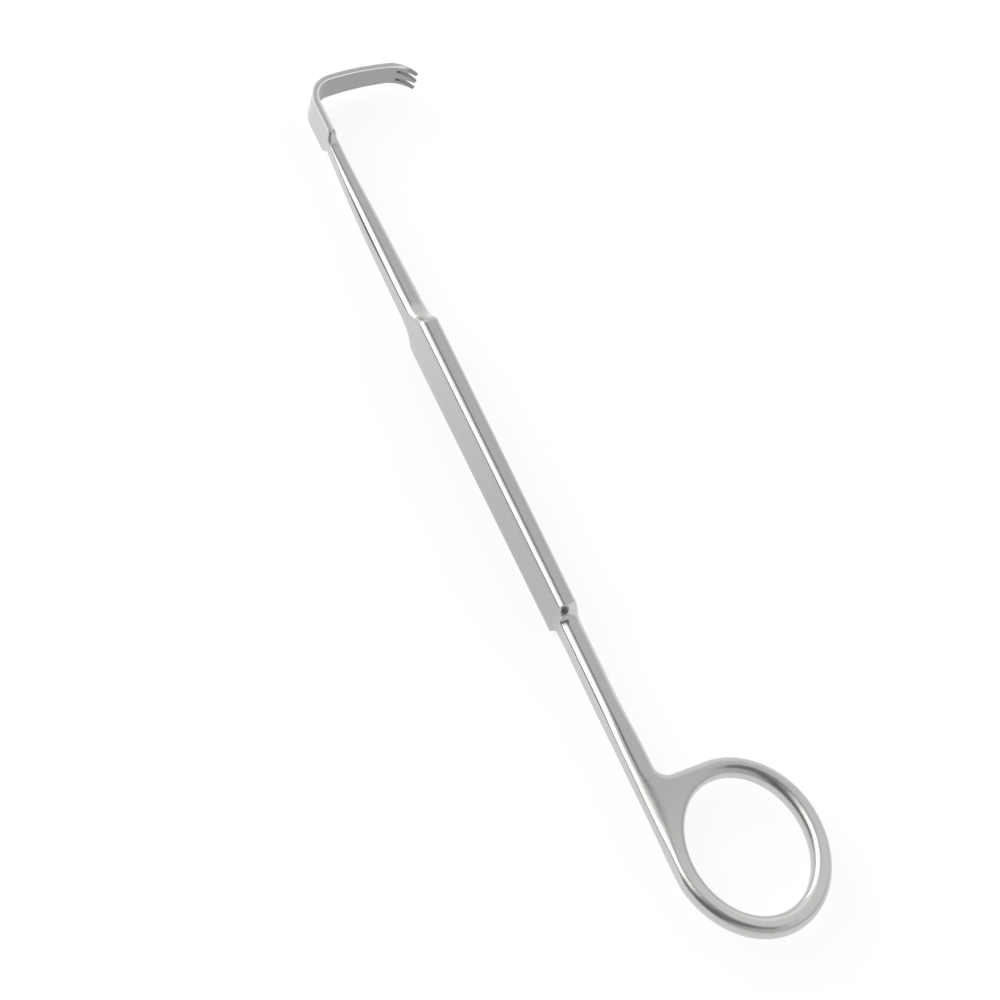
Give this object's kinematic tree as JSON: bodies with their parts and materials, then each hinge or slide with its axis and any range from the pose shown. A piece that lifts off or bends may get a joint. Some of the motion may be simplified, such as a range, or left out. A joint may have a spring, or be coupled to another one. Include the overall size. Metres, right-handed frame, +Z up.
{
  "type": "surgical retractor",
  "caption": "Forged steel hand retractor: a flat grip bar between slender shafts, a finger ring at one end and a right-angled blade with hooked prongs at the other.",
  "frame": {"origin": "under the middle of the part's box, at the level of the table it lies on", "axes": "+X along the shaft from the hook to the finger ring, +Y towards the side that hook and ring share, +Z up from the table"},
  "size_m": [0.1776, 0.0274, 0.0112],
  "materials": {
    "retractor": "satin"
  },
  "bodies": {
    "root": {"retractor": "retractor"}
  },
  "joints": []
}
